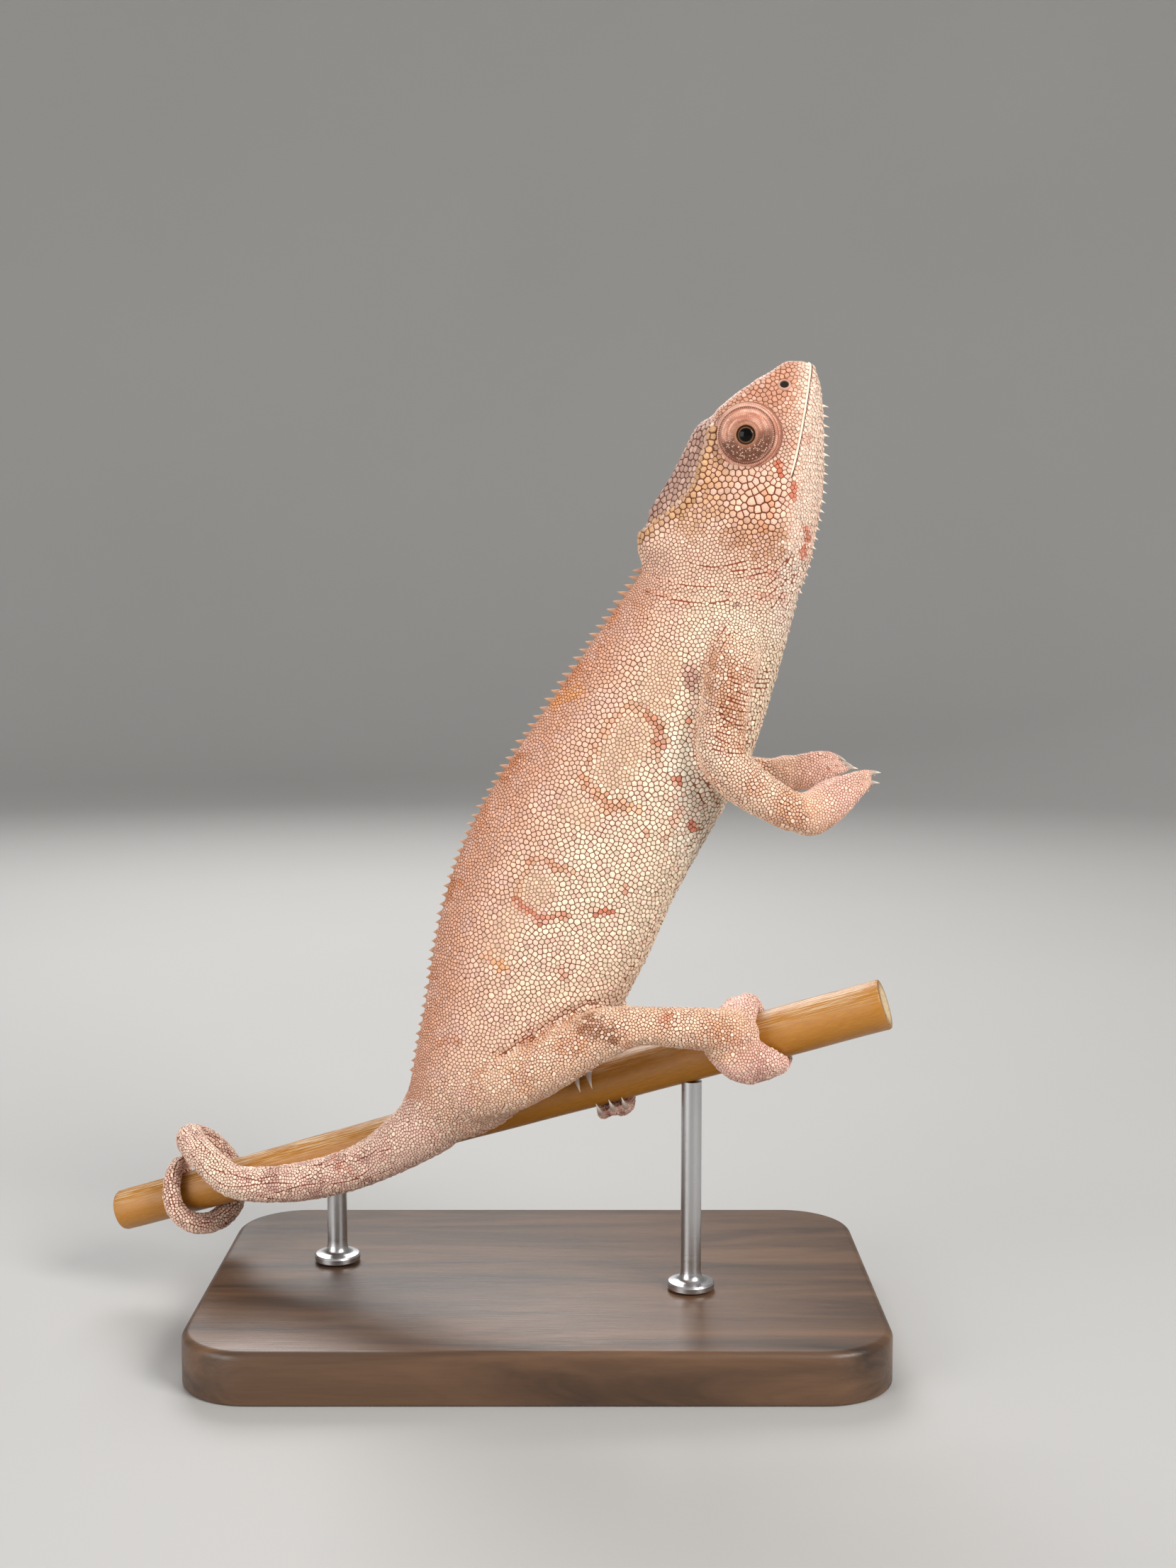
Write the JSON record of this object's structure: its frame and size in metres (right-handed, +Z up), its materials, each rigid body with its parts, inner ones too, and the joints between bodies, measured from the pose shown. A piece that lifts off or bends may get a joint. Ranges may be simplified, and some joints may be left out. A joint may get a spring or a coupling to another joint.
{
  "type": "panther chameleon",
  "caption": "Life-size still model of a female panther chameleon climbing on a cut length of cane, tail wound round it, held by a flat base with two short rods",
  "frame": {"origin": "middle of the flat underside of the stand's base", "axes": "+Z up; +X towards the raised end of the cane, the way the belly faces; the animal's right side faces -Y"},
  "size_m": [0.1571, 0.086, 0.1894],
  "materials": {
    "skin": "dry, finely scaled, satin",
    "eye": "glossy",
    "cane": "smooth golden cane, semi-gloss, worn pale along the top",
    "base": "dark walnut, satin",
    "rod": "brushed"
  },
  "bodies": {
    "root": {"head": "skin", "neck": "skin", "torso": "skin", "tail_base": "skin", "tail_middle": "skin", "tail_loop": "skin", "tail_turn": "skin", "tail_tip": "skin", "right_upper_arm": "skin", "right_forearm": "skin", "right_hand": "skin", "left_upper_arm": "skin", "left_forearm": "skin", "left_hand": "skin", "right_thigh": "skin", "right_shin": "skin", "right_foot": "skin", "left_thigh": "skin", "left_shin": "skin", "left_foot": "skin", "right_eye_turret": "skin", "left_eye_turret": "skin", "right_eyeball": "eye", "left_eyeball": "eye", "perch_cane": "cane", "stand_base": "base", "stand_rod_1": "rod", "stand_rod_2": "rod"}
  },
  "joints": []
}
